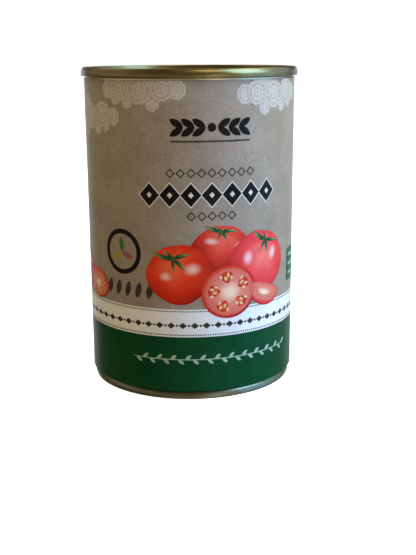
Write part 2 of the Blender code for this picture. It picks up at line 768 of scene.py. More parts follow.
def thicken(mesh: Shape, rise: float) -> None:
    """Gives flat shapes a thickness, upwards.

    Args:
        mesh: The flat shapes.
        rise: The thickness.
    """
    raised = bmesh.ops.extrude_face_region(mesh, geom=mesh.faces[:], use_keep_orig=True)
    tops = [part for part in raised["geom"] if isinstance(part, bmesh.types.BMVert)]
    bmesh.ops.translate(mesh, verts=tops, vec=(0.0, 0.0, rise))


@dataclass(frozen=True)
class TinSizes:
    """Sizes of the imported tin, in metres."""

    height: float
    body_radius: float
    label_radius: float
    label_low: float
    label_top: float
    lap_radius: float
    top_seam_radius: float
    bottom_seam_radius: float
    end_depth: float

    @classmethod
    def from_frame(cls) -> "TinSizes":
        """Reads the sizes from the boxes of the frame's nodes.

        Returns:
            The sizes.
        """
        label_low, label_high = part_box("paper_label")
        end_low, end_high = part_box("top_end")
        return cls(
            height=end_high[2],
            body_radius=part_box("steel_body")[1][0],
            label_radius=label_high[0],
            label_low=label_low[2],
            label_top=label_high[2],
            lap_radius=label_high[1],
            top_seam_radius=end_high[0],
            bottom_seam_radius=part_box("bottom_end")[1][0],
            end_depth=end_high[2] - end_low[2],
        )


@dataclass(frozen=True)
class SeamedEnd:
    """A pressed end plate with its double seam, drawn with the crest of the seam at level 0."""

    name: str
    node: str
    slot: str
    metal: Metal
    seam_radius: float
    skirt_radius: float
    crest_level: float
    turned_over: bool
    depth: float
    seam_height: float
    side_start: float  # degrees above level at which the crest's curve becomes the side's
    seam_width: float = 0.0015
    crest_flat: float = 0.0002
    crest_radius: float = 0.00025
    side_radius: float = 0.0030  # the seam's side is slightly barrelled by the rollers
    hem_radius: float = 0.00025
    fillet_radius: float = 0.00035  # under the seam, where the bare wall turns out into it
    recess: float = 0.0031
    groove_radius: float = 0.0006
    groove_drop: float = 0.0006
    wall_lean: float = 0.0005
    bead_radii: tuple[float, ...] = (0.0215, 0.0275)
    bead_half_width: float = 0.0016
    bead_height: float = 0.0006
    bead_points: int = 11
    round_points: int = 9

    def panel(self) -> list[Place]:
        """Points of the recessed panel with its pressed rings, from the axis outwards.

        Returns:
            The points (r, z).
        """
        points = [(0.0, -self.recess)]
        for middle in self.bead_radii:
            for step in range(self.bead_points):
                across = -1.0 + 2.0 * step / (self.bead_points - 1)
                rise = self.bead_height * (1.0 + math.cos(math.pi * across)) / 2.0
                points.append((middle + across * self.bead_half_width, rise - self.recess))
        return points

    def profile(self) -> list[Place]:
        """Points of the whole end, from the axis over the seam and back under the plate.

        Returns:
            The points (r, z).
        """
        start = math.radians(self.side_start)
        side = (
            self.seam_radius - self.side_radius,
            (self.crest_radius - self.side_radius) * math.sin(start) - self.crest_radius,
        )
        crest = (
            side[0] + (self.side_radius - self.crest_radius) * math.cos(start),
            -self.crest_radius,
        )
        inner_radius = crest[0] - self.crest_flat - self.seam_radius + self.seam_width
        inner = (crest[0] - self.crest_flat, -inner_radius)
        hem_level = self.hem_radius - self.seam_height
        end = math.asin((hem_level - side[1]) / (self.side_radius - self.hem_radius))
        hem = (side[0] + (self.side_radius - self.hem_radius) * math.cos(end), hem_level)
        foot = self.seam_radius - self.seam_width - self.wall_lean
        groove = (foot - self.groove_radius, -self.recess - self.groove_drop)
        shoulder = (groove[0] - 2.0 * self.groove_radius, -self.recess - self.groove_radius)
        fillet = (
            self.skirt_radius + self.fillet_radius,
            -self.seam_height - self.fillet_radius,
        )
        count = self.round_points
        points = self.panel()
        points += arc(shoulder, self.groove_radius, 90.0, 0.0, count)
        points += arc(groove, self.groove_radius, 180.0, 360.0, 2 * count)[1:]
        points += arc(inner, inner_radius, 180.0, 90.0, count)
        points += arc(crest, self.crest_radius, 90.0, self.side_start, count)
        points += arc(side, self.side_radius, self.side_start, math.degrees(end), 2 * count)[1:]
        points += arc(hem, self.hem_radius, math.degrees(end), -90.0, count)[1:]
        points += arc(fillet, self.fillet_radius, 90.0, 180.0, count)
        points += [(self.skirt_radius, -self.depth), (0.0, -self.depth)]
        return points

    def build(self) -> Object:
        """Makes the end in its place.

        Returns:
            The piece that stands for the end's node.
        """
        mesh = turned(self.profile())
        for face in mesh.faces:
            middle = face.calc_center_median()
            beyond = middle.xy.length > self.skirt_radius - self.hem_radius
            if beyond and middle.z < -self.seam_height:
                face.material_index = 1  # the strip of bare wall under the seam
        if self.turned_over:
            bmesh.ops.rotate(mesh, verts=mesh.verts[:], matrix=Matrix.Rotation(math.pi, 3, "X"))
        bmesh.ops.translate(mesh, verts=mesh.verts[:], vec=(0.0, 0.0, self.crest_level))
        metals = [dressed(self.metal), dressed(Metal.BODY_WALL)]
        return publish(self.name, mesh, metals, self.node)


@dataclass(frozen=True)
class SteelWall:
    """The steel body under the label, necked in above the lower seam."""

    sizes: TinSizes
    seam_height: float
    seam_width: float = SeamedEnd.seam_width
    gap: float = 0.0003
    neck_height: float = 0.0022
    neck_wall: float = 0.0004
    neck_points: int = 8

    def neck(self) -> list[Place]:
        """Points of the neck's smooth run from the body down to its foot.

        Returns:
            The points (r, z).
        """
        foot_radius = self.sizes.bottom_seam_radius - self.seam_width + self.gap + self.neck_wall
        foot_level = self.seam_height + self.gap
        points = []
        for step in range(self.neck_points + 1):
            down = step / self.neck_points
            ease = (1.0 - math.cos(math.pi * down)) / 2.0
            r = self.sizes.body_radius + (foot_radius - self.sizes.body_radius) * ease
            points.append((r, foot_level + self.neck_height * (1.0 - down)))
        return points

    def build(self) -> Object:
        """Makes the wall and the closed shape inside it.

        Returns:
            The piece that stands for the body's node.
        """
        recess_radius = self.sizes.bottom_seam_radius - self.seam_width + self.gap
        recess_top = self.sizes.end_depth + self.gap
        top = self.sizes.height - self.sizes.end_depth - self.gap
        profile = [(0.0, top), (self.sizes.body_radius, top)]
        profile += self.neck()
        profile += [
            (recess_radius, self.seam_height + self.gap),
            (recess_radius, recess_top),
            (0.0, recess_top),
        ]
        return publish(
            "steel_wall", turned(profile), [dressed(Metal.BODY_WALL)], "steel_body"
        )


def oval(angle: float) -> Place:
    """A round outline."""
    return (math.cos(angle), math.sin(angle))


def fruit(angle: float) -> Place:
    """The outline of a tomato: round, with flat shoulders and a shallow dip at the stalk.

    Args:
        angle: The angle of a circle's corner, in radians.

    Returns:
        Where the outline has that corner.
    """
    dip_depth, dip_width, squareness = 0.07, 0.30, 0.025
    dip = dip_depth * math.exp(-(((angle - math.pi / 2.0) / dip_width) ** 2))
    reach = 1.0 + squareness * math.cos(4.0 * angle) - dip
    return (reach * math.cos(angle), reach * math.sin(angle))


def slab(angle: float) -> Place:
    """The outline of a bar with round corners.

    Args:
        angle: The angle of a circle's corner, in radians.

    Returns:
        Where the outline has that corner.
    """
    power = 0.22  # the smaller, the sharper its corners
    x, y = math.cos(angle), math.sin(angle)
    return (math.copysign(abs(x) ** power, x), math.copysign(abs(y) ** power, y))


def blade(bend: float, width: float, taper: float = 0.0) -> Outline:
    """A leaf outline from its foot at (0, 0) to its tip at a distance of 1.

    Args:
        bend: How far the tip swings to the left, against the leaf's length.
        width: The leaf's width, against its length.
        taper: How much narrower it grows towards the tip, from 0 to 1.

    Returns:
        The outline.
    """

    def outline(angle: float) -> Place:
        """A point of the leaf's edge.

        Args:
            angle: The angle of a circle's corner, in radians.

        Returns:
            Where the outline has that corner.
        """
        along = (1.0 + math.cos(angle)) / 2.0
        across = width / 2.0 * math.sin(angle) * abs(math.sin(angle)) ** 0.6
        across *= 1.0 - taper * along
        return (along, across + bend * along * along)

    return outline


def half_moon(belly: float, bow: float = 0.22) -> Outline:
    """A shape with a slightly bowed upper side and a deep round belly.

    Args:
        belly: The depth of the belly, against the half width.
        bow: The height of the bow.

    Returns:
        The outline.
    """

    def outline(angle: float) -> Place:
        """A point of the half moon's edge."""
        y = math.sin(angle)
        return (math.cos(angle), y * (bow if y > 0.0 else belly))

    return outline


def scallop(lobes: int, depth: float) -> Outline:
    """A round outline with an edge of small bows, as on a doily.

    Args:
        lobes: The number of bows.
        depth: How deep the notches between them are, against the radius.

    Returns:
        The outline.
    """

    def outline(angle: float) -> Place:
        """A point of the scalloped edge."""
        reach = 1.0 - depth * (1.0 - abs(math.sin(lobes * angle / 2.0)))
        return (reach * math.cos(angle), reach * math.sin(angle))

    return outline


def seed_cell(turn: float, near: float, far: float, spread: float) -> Outline:
    """A kidney-shaped seed cell beside the middle of a cut fruit.

    Args:
        turn: The direction of the cell from the middle, in radians.
        near: The nearest distance to the middle, against the fruit's radius.
        far: The farthest distance.
        spread: Half the angle that the cell takes up, in radians.

    Returns:
        The outline.
    """

    def outline(angle: float) -> Place:
        """A point of the cell's edge.

        Args:
            angle: The angle of a circle's corner, in radians.

        Returns:
            Where the outline has that corner.
        """
        reach = (near + far) / 2.0 + (far - near) / 2.0 * math.cos(angle)
        swing = turn + spread * math.sin(angle) * (0.75 + 0.25 * math.cos(angle))
        return (reach * math.cos(swing), reach * math.sin(swing))

    return outline


def turned_about(place: Place, offset: Place, turn: float) -> Place:
    """Turns a point about a place on the paper.

    Args:
        place: The place.
        offset: The point, counted from the place.
        turn: How far it is turned to the left, in degrees.

    Returns:
        The point on the paper.
    """
    spot = Matrix.Rotation(math.radians(turn), 2) @ Vector(offset)
    return (place[0] + spot.x, place[1] + spot.y)


@dataclass
class InkSheet:
    """Shapes printed together, laid out flat and then wrapped round the label.

    A sheet lies on the paper, or on the sheets of lower layers.
    """

    name: str
    radius: float
    layer: int
    inks: list[Enum]
    cut_step: float = 0.001  # widest flat strip, so that the print follows the curve
    layer_pitch: float = 0.00002
    thickness: float = 0.000012
    mesh: Shape = field(default_factory=bmesh.new)

    def __post_init__(self) -> None:
        """Adds the map that the shaded inks read."""
        self.map = self.mesh.loops.layers.uv.new(PICTURE_MAP)

    def shape(
        self,
        outline: Outline,
        place: Place,
        size: Place,
        turn: float = 0.0,
        ink: int = 0,
        sides: int = 32,
    ) -> None:
        """Adds one filled shape.

        Args:
            outline: The shape's edge about (0, 0), by the angle of a circle's corner.
            place: Where the shape's (0, 0) lies on the paper.
            size: The lengths on the paper of 1 across and 1 up in the outline.
            turn: How far the shape is turned to the left, in degrees.
            ink: The number of its ink in the sheet.
            sides: The number of corners.
        """
        made = bmesh.ops.create_circle(self.mesh, cap_ends=True, radius=1.0, segments=sides)
        marks = {}
        for vert in made["verts"]:
            angle = math.atan2(vert.co.y, vert.co.x)
            marks[vert] = oval(angle)
            x, y = outline(angle)
            vert.co = (*turned_about(place, (x * size[0], y * size[1]), turn), 0.0)
        face = made["verts"][0].link_faces[0]
        face.material_index = ink
        for loop in face.loops:
            u, v = marks[loop.vert]
            loop[self.map].uv = ((1.0 + u) / 2.0, (1.0 + v) / 2.0)

    def ring(self, place: Place, radius: float, width: float, sides: int) -> None:
        """Adds a ring of the sheet's first ink.

        Args:
            place: The ring's middle on the paper.
            radius: Its outer radius.
            width: The width of its line.
            sides: The number of corners.
        """
        edges = []
        for reach in (radius, radius - width):
            made = bmesh.ops.create_circle(self.mesh, cap_ends=False, radius=reach, segments=sides)
            bmesh.ops.translate(self.mesh, verts=made["verts"], vec=(*place, 0.0))
            edges += dict.fromkeys(edge for vert in made["verts"] for edge in vert.link_edges)
        bmesh.ops.bridge_loops(self.mesh, edges=edges)

    def trim_above(self, level: float) -> None:
        """Cuts off what would be printed past the paper's upper edge.

        Args:
            level: The height of the cut.
        """
        bmesh.ops.bisect_plane(
            self.mesh,
            geom=self.mesh.verts[:] + self.mesh.edges[:] + self.mesh.faces[:],
            dist=1e-8,
            plane_co=(0.0, level, 0.0),
            plane_no=(0.0, 1.0, 0.0),
            clear_outer=True,
        )

    def cut_strips(self) -> None:
        """Cuts the wide faces into narrow upright strips."""
        places = [vert.co.x for vert in self.mesh.verts]
        first = math.ceil(min(places) / self.cut_step)
        last = math.floor(max(places) / self.cut_step)
        wide = self.mesh.faces[:]
        for index in range(first, last + 1):
            level = index * self.cut_step
            crossed = []
            rest = []
            for face in wide:
                sides = [vert.co.x for vert in face.verts]
                if max(sides) > level and max(sides) - min(sides) > self.cut_step:
                    (crossed if min(sides) < level else rest).append(face)
            # Each edge and corner once, in an order that is the same in every run
            parts = dict.fromkeys(edge for face in crossed for edge in face.edges)
            corners = dict.fromkeys(vert for face in crossed for vert in face.verts)
            cut = bmesh.ops.bisect_plane(
                self.mesh,
                geom=list(corners) + list(parts) + crossed,
                dist=1e-8,
                plane_co=(level, 0.0, 0.0),
                plane_no=(1.0, 0.0, 0.0),
            )
            wide = rest + [part for part in cut["geom"] if isinstance(part, bmesh.types.BMFace)]

    def build(self) -> Object:
        """Gives the sheet its thickness, wraps it round the paper and makes it a piece.

        Returns:
            The printed piece.
        """
        self.cut_strips()
        thicken(self.mesh, self.thickness)
        base = self.radius + self.layer * self.layer_pitch
        for vert in self.mesh.verts:
            along, up, out = vert.co
            angle = along / self.radius
            vert.co = ((base + out) * math.sin(angle), -(base + out) * math.cos(angle), up)
        return publish(self.name, self.mesh, [dressed(ink) for ink in self.inks])


@dataclass(frozen=True)
class PaperSleeve:
    """The paper itself: a sleeve with soft edges and a glued lap at the back."""

    sizes: TinSizes
    paper: float = 0.0002
    edge_round: float = 0.00006
    # Angles of the lap seen from above, from the tin's right side round by its back
    lap_start: float = math.radians(90.0)
    lap_end: float = math.radians(105.0)
    lap_cuts: int = 16

    def sleeve(self) -> Object:
        """Makes the sleeve.

        Returns:
            The piece that stands for the label's node.
        """
        outer = self.sizes.label_radius
        inner = outer - self.paper
        low, top, soft = self.sizes.label_low, self.sizes.label_top, self.edge_round
        profile = [(inner, top), *arc((outer - soft, top - soft), soft, 90.0, 0.0, 4)]
        profile += [*arc((outer - soft, low + soft), soft, 0.0, -90.0, 4), (inner, low)]
        mesh = turned(profile, closed=True)
        return publish("paper_sleeve", mesh, [label_paper()], "paper_label")

    def lap(self) -> Object:
        """Makes the glued end of the paper, which stands over the other end.

        Returns:
            The lap.
        """
        mesh = bmesh.new()
        width = (self.lap_end - self.lap_start) * self.sizes.label_radius
        height = self.sizes.label_top - self.sizes.label_low
        bmesh.ops.create_grid(mesh, x_segments=self.lap_cuts, y_segments=1, size=0.5)
        bmesh.ops.scale(mesh, verts=mesh.verts[:], vec=(width, height, 1.0))
        thicken(mesh, self.sizes.lap_radius - self.sizes.label_radius)
        middle = (self.lap_start + self.lap_end) / 2.0
        for vert in mesh.verts:
            angle = middle - vert.co.x / self.sizes.label_radius
            reach = self.sizes.label_radius + vert.co.z
            level = self.sizes.label_low + height / 2.0 + vert.co.y
            vert.co = (reach * math.cos(angle), reach * math.sin(angle), level)
        return publish("paper_lap", mesh, [label_paper()])

    def build(self) -> None:
        """Makes the sleeve and its lap."""
        self.sleeve()
        self.lap()


@dataclass(frozen=True)
class Calyx:
    """The green star of sepals on a tomato, with a stub of stalk."""

    place: Place
    reach: float
    squash: float = 1.0  # its height against its width, as it turns away from the viewer
    turn: float = 0.0
    lengths: tuple[float, ...] = (1.0, 0.74, 1.1, 0.8, 0.95)
    sepal_width: float = 0.34
    taper: float = 0.7
    spread: float = 0.9  # how broadly the sepals' width and bend are drawn
    stub: float = 0.15  # the stub's radius, against the reach
    least_squash: float = 0.7  # how far the stub may be squashed
    bend: float = 0.22
    wander: float = 9.0  # how far the sepals stray from an even star, in degrees

    def print_on(self, sheet: InkSheet) -> None:
        """Adds the calyx to a sheet.

        Args:
            sheet: A sheet whose first ink is the sepals' green and whose second is paler.
        """
        for index, share in enumerate(self.lengths):
            side = 1.0 if index % 2 else -1.0
            direction = self.turn + 360.0 * index / len(self.lengths) + side * self.wander
            flat = math.radians(direction)
            across, up = math.cos(flat), math.sin(flat) * self.squash
            length = self.reach * share
            sheet.shape(
                blade(side * self.bend, self.sepal_width, self.taper),
                self.place,
                (length * math.hypot(across, up), length * self.spread),
                math.degrees(math.atan2(up, across)),
                sides=28,
            )
        stub = self.reach * self.stub
        size = (stub, stub * max(self.squash, self.least_squash))
        sheet.shape(oval, self.place, size, ink=1, sides=16)


@dataclass(frozen=True)
class WholeTomato:
    """A whole tomato in the picture."""

    name: str
    place: Place
    half_width: float
    half_height: float
    shade: Shade
    layer: int
    calyx: Calyx
    turn: float = 0.0

    def print_on(self, radius: float) -> None:
        """Prints the fruit and its calyx.

        Args:
            radius: The label's radius.
        """
        skin = InkSheet(self.name, radius, self.layer, [self.shade])
        skin.shape(fruit, self.place, (self.half_width, self.half_height), self.turn, sides=72)
        skin.build()
        star = InkSheet(f"{self.name}_calyx", radius, self.layer + 1, [Shade.SEPAL, Ink.LEAF])
        self.calyx.print_on(star)
        star.build()


@dataclass(frozen=True)
class CutHalf:
    """Half a tomato, seen on its cut face.

    The reaches and the seeds' size count against the fruit's radius, and spreads are radians.
    """

    name: str
    place: Place
    half_width: float
    half_height: float
    layer: int
    turn: float = 0.0
    cells: int = 5
    rim: float = 0.92
    cell_reach: tuple[float, float] = (0.34, 0.78)
    cell_spread: float = 0.46
    seeds_per_cell: int = 4
    seed_reach: tuple[float, float] = (0.54, 0.66)
    seed_spread: float = 0.62
    seed_size: tuple[float, float] = (0.075, 0.042)

    def print_on(self, radius: float) -> None:
        """Prints the skin, the flesh, the seed cells and the seeds.

        Args:
            radius: The label's radius.
        """
        size = (self.half_width, self.half_height)
        skin = InkSheet(self.name, radius, self.layer, [Shade.RIPE])
        skin.shape(oval, self.place, size, self.turn, sides=72)
        skin.build()
        flesh = InkSheet(f"{self.name}_flesh", radius, self.layer + 1, [Shade.FLESH])
        flesh.shape(
            oval, self.place, (size[0] * self.rim, size[1] * self.rim), self.turn, sides=72
        )
        flesh.build()
        gel = InkSheet(f"{self.name}_gel", radius, self.layer + 2, [Shade.GEL])
        seeds = InkSheet(f"{self.name}_seeds", radius, self.layer + 3, [Ink.SEED])
        for index in range(self.cells):
            turn = math.tau * (index + 0.25) / self.cells
            cell = seed_cell(turn, *self.cell_reach, self.cell_spread)
            gel.shape(cell, self.place, size, self.turn)
            for seed in range(self.seeds_per_cell):
                swing = turn + self.seed_spread * (seed / (self.seeds_per_cell - 1) - 0.5)
                reach = self.seed_reach[seed % 2]
                offset = (reach * math.cos(swing) * size[0], reach * math.sin(swing) * size[1])
                seeds.shape(
                    oval,
                    turned_about(self.place, offset, self.turn),
                    (self.half_width * self.seed_size[0], self.half_width * self.seed_size[1]),
                    math.degrees(swing) + self.turn,
                    sides=12,
                )
        gel.build()
        seeds.build()


@dataclass(frozen=True)
class CutWedge:
    """A wedge of tomato lying on its skin.

    The shares and sizes count against the wedge's half width, or its belly for a depth.
    """

    name: str
    place: Place
    half_width: float
    belly: float
    layer: int
    turn: float = 0.0
    flesh_width: float = 0.93
    flesh_depth: float = 0.86
    seeds: int = 6
    seed_reach: tuple[float, float] = (0.60, 0.52)
    gel_size: tuple[float, float] = (0.10, 0.075)
    seed_size: tuple[float, float] = (0.055, 0.03)

    def print_on(self, radius: float) -> None:
        """Prints the skin, the flesh, the gel and the seeds.

        Args:
            radius: The label's radius.
        """
        wide = self.half_width
        skin = InkSheet(self.name, radius, self.layer, [Shade.ROSY])
        skin.shape(half_moon(self.belly), self.place, (wide, wide), self.turn, sides=64)
        skin.build()
        flesh = InkSheet(f"{self.name}_flesh", radius, self.layer + 1, [Shade.FLESH])
        size = (wide * self.flesh_width, wide * self.flesh_width)
        flesh.shape(
            half_moon(self.belly * self.flesh_depth), self.place, size, self.turn, sides=64
        )
        flesh.build()
        gel = InkSheet(f"{self.name}_gel", radius, self.layer + 2, [Shade.GEL])
        seeds = InkSheet(f"{self.name}_seeds", radius, self.layer + 3, [Ink.SEED])
        for index in range(self.seeds):
            swing = math.pi * (1.0 + (index + 1.0) / (self.seeds + 1.0))
            offset = (
                wide * self.seed_reach[0] * math.cos(swing),
                wide * self.belly * self.seed_reach[1] * math.sin(swing),
            )
            middle = turned_about(self.place, offset, self.turn)
            bed = (wide * self.gel_size[0], wide * self.gel_size[1])
            gel.shape(oval, middle, bed, self.turn, sides=20)
            seed = (wide * self.seed_size[0], wide * self.seed_size[1])
            seeds.shape(oval, middle, seed, self.turn + math.degrees(swing), sides=12)
        gel.build()
        seeds.build()


@dataclass(frozen=True)
class TomatoPicture:
    """Tomatoes printed over each other, from the back of the picture to its front."""

    radius: float
    tomatoes: tuple[WholeTomato | CutHalf | CutWedge, ...]

    def build(self) -> None:
        """Prints the tomatoes in order."""
        for tomato in self.tomatoes:
            tomato.print_on(self.radius)


FRONT_TOMATOES = (
    WholeTomato(
        "tomato_back",
        (0.0105, 0.0505),
        0.0108,
        0.0098,
        Shade.DEEP,
        layer=1,
        calyx=Calyx((0.0100, 0.0580), 0.0058, 0.5, 25.0),
        turn=-6.0,
    ),
    WholeTomato(
        "tomato_left",
        (-0.0040, 0.0440),
        0.0112,
        0.0102,
        Shade.RIPE,
        layer=3,
        calyx=Calyx((-0.0060, 0.0492), 0.0066, 0.8, 40.0),
        turn=8.0,
    ),
    WholeTomato(
        "tomato_right",
        (0.0250, 0.0465),
        0.0118,
        0.0110,
        Shade.ROSY,
        layer=3,
        calyx=Calyx((0.0272, 0.0535), 0.0066, 0.7, 12.0),
        turn=-10.0,
    ),
    CutHalf("tomato_half", (0.0130, 0.0375), 0.0098, 0.0090, layer=5, turn=12.0),
    CutWedge("tomato_wedge", (0.0275, 0.0370), 0.0078, 0.78, layer=5, turn=-18.0),
)
SIDE_TOMATOES = (
    WholeTomato(
        "side_tomato",
        (-0.0525, 0.0405),
        0.0090,
        0.0082,
        Shade.DEEP,
        layer=1,
        calyx=Calyx((-0.0510, 0.0468), 0.0054, 0.5, 15.0),
    ),
    CutHalf("side_half", (-0.0395, 0.0370), 0.0074, 0.0052, layer=3),
)


@dataclass(frozen=True)
class LaceFringe:
    """Clusters of pale lace doilies along the paper's upper edge."""

    radius: float
    top: float
    line: float = 0.00024
    eyelet: float = 0.00026
    bow_step: float = 0.00075  # how much more radius brings two more bows
    notch: float = 0.10
    # Shares of a doily's radius, for its rings of thread and for its circle of eyelets
    rings: tuple[float, ...] = (0.84, 0.50, 0.22)
    eyelets: float = 0.69
    # Doilies of a cluster as (along, up, radius) from its middle, in groups that lie
    # on each other from the paper up
    groups: tuple[tuple[tuple[float, float, float], ...], ...] = (
        (
            (-0.0127, -0.0003, 0.0031),
            (0.0126, -0.0003, 0.0033),
            (-0.0045, -0.0043, 0.0022),
            (0.0046, -0.0047, 0.0025),
            (0.0038, 0.0036, 0.0030),
        ),
        ((0.0001, -0.0006, 0.0047), (-0.0092, -0.0034, 0.0020)),
        ((-0.0075, 0.0003, 0.0045), (0.0078, 0.0001, 0.0043)),
    )
    # Clusters as (along, up, side), where the side is -1 for one that is turned round
    clusters: tuple[tuple[float, float, float], ...] = (
        (-0.0168, 0.1038, 1.0),
        (-0.0404, 0.0950, -1.0),
        (0.0312, 0.1022, -1.0),
        (0.0820, 0.1026, 1.0),
        (-0.0880, 0.1030, -1.0),
    )

    def doily(self, ground: InkSheet, lines: InkSheet, middle: Place, reach: float) -> None:
        """Adds one doily.

        Args:
            ground: The sheet of its even pale ground.
            lines: The sheet of its threads, and of its eyelets as the second ink.
            middle: Its place on the paper.
            reach: Its radius.
        """
        lobes = 2 * round(reach / self.bow_step)
        ground.shape(scallop(lobes, self.notch), middle, (reach, reach), sides=8 * lobes)
        for share in self.rings:
            lines.ring(middle, reach * share, self.line, sides=28)
        for index in range(lobes):
            swing = math.tau * (index + 0.5) / lobes
            spot = (
                middle[0] + self.eyelets * reach * math.cos(swing),
                middle[1] + self.eyelets * reach * math.sin(swing),
            )
            lines.shape(oval, spot, (self.eyelet, self.eyelet), ink=1, sides=8)

    def build(self) -> None:
        """Prints the clusters, one group over the other."""
        for index, group in enumerate(self.groups):
            layer = 1 + 2 * index
            ground = InkSheet(f"lace_{index}_ground", self.radius, layer, [Ink.MIST])
            lines = InkSheet(
                f"lace_{index}_threads", self.radius, layer + 1, [Ink.LACE, Ink.EYELET]
            )
            for along, up, side in self.clusters:
                for across, rise, reach in group:
                    self.doily(ground, lines, (along + side * across, up + rise), reach)
            for sheet in (ground, lines):
                sheet.trim_above(self.top)
                sheet.build()


@dataclass(frozen=True)
class TitleOrnament:
    """Plain dark ornaments down the middle of the front."""

    radius: float
    middle: float = 0.0070
    sprig_level: float = 0.0918
    sprig_dot: float = 0.0014
    sprig_leaves: int = 3
    leaf: float = 0.0050
    leaf_lean: float = 32.0
    leaf_pitch: float = 0.0036
    first_leaf: float = 0.0020
    rule_level: float = 0.0874
    rule_half: Place = (0.0134, 0.00028)
    diamond_level: float = 0.0702
    diamond_count: int = 7
    diamond_pitch: float = 0.0069
    # Half sizes of a diamond's pale edge, of its dark face and of its pale heart
    diamond_halves: tuple[Place, ...] = ((0.0039, 0.0043), (0.0034, 0.0038), (0.0009, 0.0010))
    lozenge_rows: tuple[tuple[float, int], ...] = ((0.0773, 9), (0.0633, 5))  # levels and counts
    lozenge_pitch: float = 0.0034
    lozenge_reach: float = 0.0016
    lozenge_line: float = 0.00055

    def sprig(self) -> None:
        """Prints two bold sprigs that meet at a dot, over a thin rule."""
        sheet = InkSheet("bold_sprig", self.radius, 1, [Ink.BLACK])
        dot = (self.sprig_dot, self.sprig_dot)
        sheet.shape(oval, (self.middle, self.sprig_level), dot, sides=24)
        for side in (1.0, -1.0):
            for index in range(self.sprig_leaves):
                along = self.middle + side * (self.first_leaf + index * self.leaf_pitch)
                for lean in (self.leaf_lean, -self.leaf_lean):
                    sheet.shape(
                        blade(bend=0.0, width=0.46),
                        (along, self.sprig_level),
                        (self.leaf, self.leaf),
                        lean if side > 0.0 else 180.0 - lean,
                        sides=20,
                    )
        sheet.build()
        rule = InkSheet("sprig_rule", self.radius, 1, [Ink.GREY])
        rule.shape(slab, (self.middle, self.rule_level), self.rule_half, sides=24)
        rule.build()

    def diamonds(self) -> None:
        """Prints the row of dark diamonds with pale edges and hearts."""
        sheets = (
            InkSheet("diamond_edges", self.radius, 1, [Ink.PALE]),
            InkSheet("diamonds", self.radius, 2, [Ink.BLACK]),
            InkSheet("diamond_hearts", self.radius, 3, [Ink.PALE]),
        )
        for index in range(self.diamond_count):
            along = self.middle + (index - (self.diamond_count - 1) / 2.0) * self.diamond_pitch
            for sheet, half in zip(sheets, self.diamond_halves):
                sheet.shape(oval, (along, self.diamond_level), half, sides=4)
        for sheet in sheets:
            sheet.build()

    def lozenges(self) -> None:
        """Prints a row of open lozenges over and under the diamonds."""
        sheet = InkSheet("open_lozenges", self.radius, 1, [Ink.GREY])
        for level, count in self.lozenge_rows:
            for index in range(count):
                along = self.middle + (index - (count - 1) / 2.0) * self.lozenge_pitch
                sheet.ring((along, level), self.lozenge_reach, self.lozenge_line, sides=4)
        sheet.build()

    def build(self) -> None:
        """Prints all the ornaments."""
        self.sprig()
        self.diamonds()
        self.lozenges()


@dataclass(frozen=True)
class SmallMarks:
    """The round badge, the row of seeds under it and the green mark on the right."""

    radius: float
    badge: Place = (-0.0250, 0.0503)
    badge_radius: float = 0.0077
    badge_line: float = 0.0016
    petal: float = 0.0047
    seed_count: int = 5
    first_seed: Place = (-0.0318, 0.0350)
    seed_pitch: float = 0.0042
    seed_length: float = 0.0056
    seed_lean: float = 76.0
    block: Place = (0.0490, 0.0420)
    block_half: Place = (0.0070, 0.0060)
    bar_half: Place = (0.0052, 0.0005)
    bar_pitch: float = 0.0033

    def round_badge(self) -> None:
        """Prints a dark ring round three coloured petals."""
        inks = [Ink.BLACK, Ink.LEAF, Ink.STRAW, Ink.ROSE]
        sheet = InkSheet("round_badge", self.radius, 1, inks)
        sheet.ring(self.badge, self.badge_radius, self.badge_line, sides=72)
        for index in range(3):
            sheet.shape(
                blade(bend=0.12, width=0.42),
                self.badge,
                (self.petal, self.petal),
                90.0 + 120.0 * index,
                ink=1 + index,
                sides=24,
            )
        sheet.build()

    def seed_row(self) -> None:
        """Prints a row of slim dark seeds."""
        sheet = InkSheet("seed_row", self.radius, 1, [Ink.GREY])
        size = (self.seed_length, self.seed_length)
        for index in range(self.seed_count):
            place = (self.first_seed[0] + index * self.seed_pitch, self.first_seed[1])
            sheet.shape(blade(bend=0.0, width=0.42), place, size, self.seed_lean, sides=20)
        sheet.build()

    def side_mark(self) -> None:
        """Prints the green block with pale bars on the right side."""
        block = InkSheet("green_block", self.radius, 1, [Ink.GREEN])
        bars = InkSheet("green_block_bars", self.radius, 2, [Ink.SAGE])
        block.shape(slab, self.block, self.block_half, sides=40)
        for row in (-1, 0, 1):
            level = self.block[1] + row * self.bar_pitch
            bars.shape(slab, (self.block[0], level), self.bar_half, sides=24)
        block.build()
        bars.build()

    def build(self) -> None:
        """Prints the marks."""
        self.round_badge()
        self.seed_row()
        self.side_mark()


